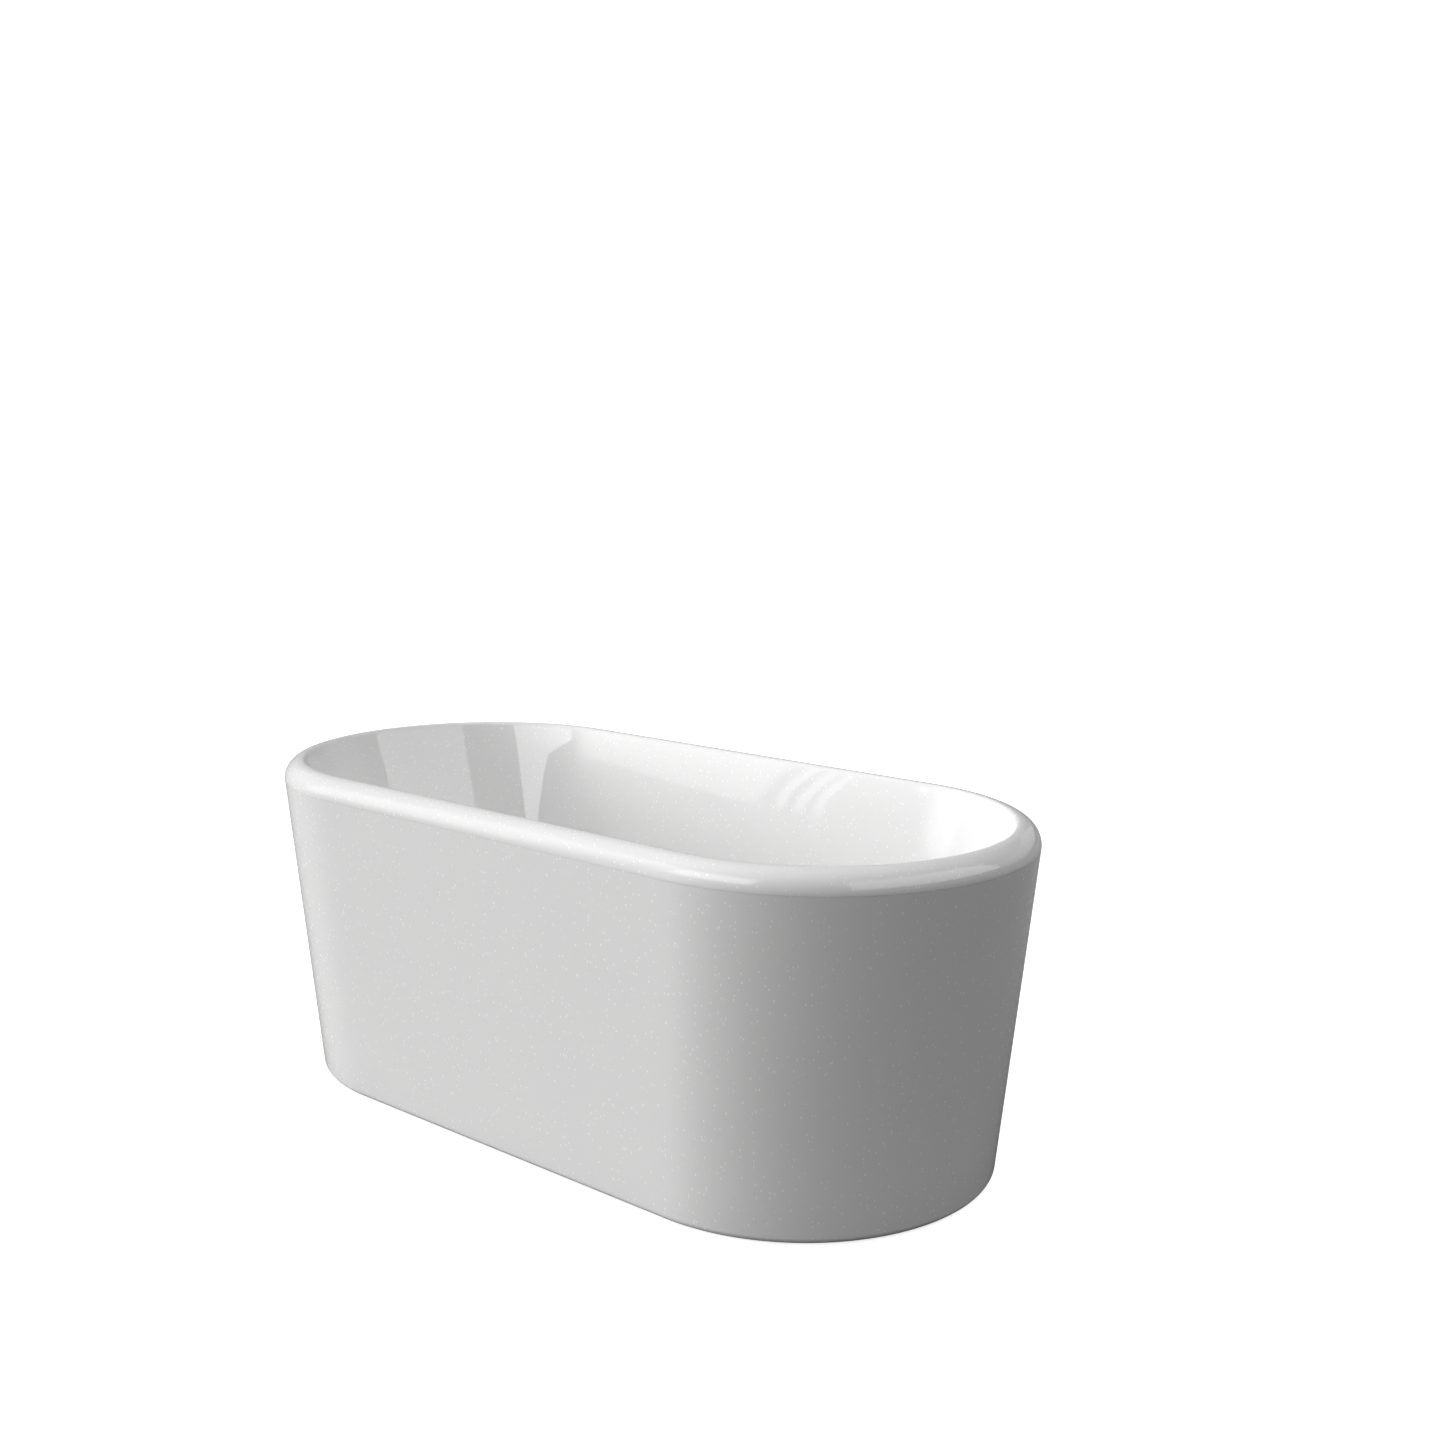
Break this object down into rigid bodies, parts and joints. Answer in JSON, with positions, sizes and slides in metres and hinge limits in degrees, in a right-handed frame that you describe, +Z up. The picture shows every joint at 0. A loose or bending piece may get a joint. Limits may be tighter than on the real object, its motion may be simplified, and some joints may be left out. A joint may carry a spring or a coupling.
{
  "type": "freestanding bathtub",
  "caption": "Freestanding double-ended bathtub, stadium shaped in plan, with tapered skirt, rolled rim, levelling feet, overflow and click-clack waste.",
  "frame": {"origin": "on the floor, under the middle of the bath", "axes": "+X along the bath's length, +Y across it away from the overflow, +Z up"},
  "size_m": [1.5, 0.7, 0.585],
  "materials": {
    "white_acrylic": "polished white acrylic",
    "bonding_paste": "cured filled resin",
    "particle_board": "resin sealed",
    "frame_paint": "satin powder coat",
    "zinc_steel": "bright zinc plate",
    "black_nylon": "moulded",
    "chrome_plate": "polished",
    "black_rubber": "matt",
    "white_plastic": "moulded satin",
    "hose_plastic": "flexible satin",
    "spring_steel": "drawn wire"
  },
  "bodies": {
    "bath": {"basin": "white_acrylic", "outer_skirt": "white_acrylic", "rim_joint_strip": "bonding_paste", "floor_bonding_bed": "bonding_paste", "base_board": "particle_board", "rail_front": "frame_paint", "rail_rear": "frame_paint", "end_crossbar_left": "frame_paint", "end_crossbar_right": "frame_paint", "inner_crossbar_left": "frame_paint", "inner_crossbar_right": "frame_paint", "board_screw_1": "zinc_steel", "board_screw_2": "zinc_steel", "board_screw_3": "zinc_steel", "board_screw_4": "zinc_steel", "skirt_bracket_1": "zinc_steel", "skirt_bracket_2": "zinc_steel", "skirt_bracket_3": "zinc_steel", "skirt_bracket_4": "zinc_steel", "bracket_bolt_1": "zinc_steel", "bracket_bolt_2": "zinc_steel", "bracket_bolt_3": "zinc_steel", "bracket_bolt_4": "zinc_steel", "foot_weld_nut_1": "zinc_steel", "foot_weld_nut_2": "zinc_steel", "foot_weld_nut_3": "zinc_steel", "foot_weld_nut_4": "zinc_steel", "foot_lock_nut_1": "zinc_steel", "foot_lock_nut_2": "zinc_steel", "foot_lock_nut_3": "zinc_steel", "foot_lock_nut_4": "zinc_steel", "waste_cartridge": "zinc_steel", "crossbar_cap_1": "black_nylon", "crossbar_cap_2": "black_nylon", "crossbar_cap_3": "black_nylon", "crossbar_cap_4": "black_nylon", "waste_flange": "chrome_plate", "overflow_cover": "chrome_plate", "overflow_bolt": "chrome_plate", "waste_flange_gasket": "black_rubber", "waste_body_gasket": "black_rubber", "overflow_gasket": "black_rubber", "waste_body": "white_plastic", "overflow_elbow": "white_plastic", "hose_nut_top": "white_plastic", "hose_nut_bottom": "white_plastic", "overflow_hose": "hose_plastic", "waste_spring": "spring_steel"},
    "waste_plug": {"waste_cap": "chrome_plate", "waste_cap_seal": "black_rubber", "waste_cap_stem": "zinc_steel"},
    "foot_1": {"foot_pad_1": "black_nylon", "foot_stem_1": "zinc_steel"},
    "foot_2": {"foot_pad_2": "black_nylon", "foot_stem_2": "zinc_steel"},
    "foot_3": {"foot_pad_3": "black_nylon", "foot_stem_3": "zinc_steel"},
    "foot_4": {"foot_pad_4": "black_nylon", "foot_stem_4": "zinc_steel"}
  },
  "joints": [
    {"name": "waste_plug_slide", "type": "slide", "parent": "bath", "child": "waste_plug", "axis": [0, 0, 1], "range_m": [-0.01, 0], "stiffness_N_per_m": 800, "springref_m": 0.006, "deforming": ["waste_spring"]},
    {"name": "foot_1_screw_travel", "type": "slide", "parent": "bath", "child": "foot_1", "axis": [0, 0, -1], "range_m": [-0.002, 0.02]},
    {"name": "foot_2_screw_travel", "type": "slide", "parent": "bath", "child": "foot_2", "axis": [0, 0, -1], "range_m": [-0.002, 0.02]},
    {"name": "foot_3_screw_travel", "type": "slide", "parent": "bath", "child": "foot_3", "axis": [0, 0, -1], "range_m": [-0.002, 0.02]},
    {"name": "foot_4_screw_travel", "type": "slide", "parent": "bath", "child": "foot_4", "axis": [0, 0, -1], "range_m": [-0.002, 0.02]}
  ]
}
